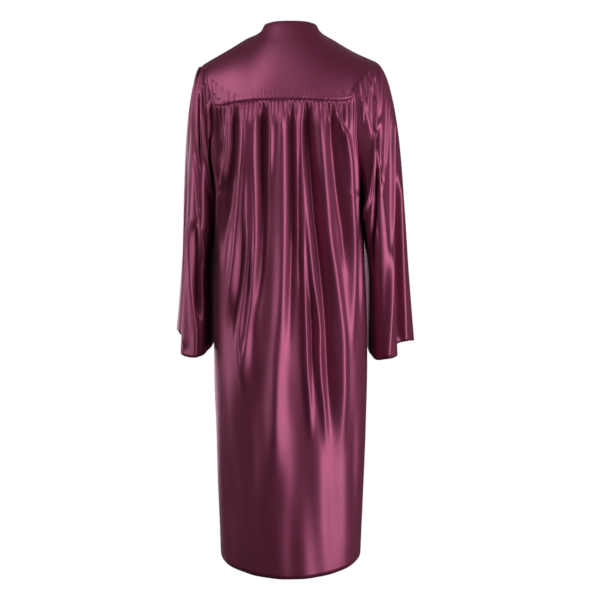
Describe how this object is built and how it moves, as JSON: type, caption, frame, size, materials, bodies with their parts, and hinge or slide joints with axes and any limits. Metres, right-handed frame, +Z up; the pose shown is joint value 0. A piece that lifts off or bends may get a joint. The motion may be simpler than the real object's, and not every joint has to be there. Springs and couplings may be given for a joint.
{
  "type": "graduation gown",
  "caption": "Full-length satin graduation gown with yokes, gathered back and fronts, bell sleeves and a front zip, filled out hollow as if worn.",
  "frame": {"origin": "middle of the neck base at shoulder height, where the wearer's shoulders carry the gown", "axes": "+Z up along the gown's length; the wearer faces -Y, so the back of the gown is at +Y and the wearer's left at +X"},
  "size_m": [0.5618, 0.3131, 1.2631],
  "materials": {
    "burgundy_satin": "high-shine polyester satin, burgundy",
    "burgundy_tape": "matt woven zip tape, burgundy",
    "burgundy_coil": "dyed nylon coil, burgundy",
    "painted_metal": "die-cast zinc, painted burgundy"
  },
  "bodies": {
    "gown": {"back_yoke": "burgundy_satin", "front_yoke_left": "burgundy_satin", "front_yoke_right": "burgundy_satin", "back_panel": "burgundy_satin", "front_panel_left": "burgundy_satin", "front_panel_right": "burgundy_satin", "sleeve_left": "burgundy_satin", "sleeve_right": "burgundy_satin", "zip_tape_left": "burgundy_tape", "zip_tape_right": "burgundy_tape", "zip_chain": "burgundy_coil", "zip_slider": "painted_metal"},
    "zip_pull": {"zip_pull_tab": "painted_metal"}
  },
  "joints": [
    {"name": "pull_tab_hinge", "type": "hinge", "parent": "gown", "child": "zip_pull", "pos_m": [0, -0.10658, -0.1234], "axis": [-1, 0, 0], "range_deg": [0, 150]}
  ]
}
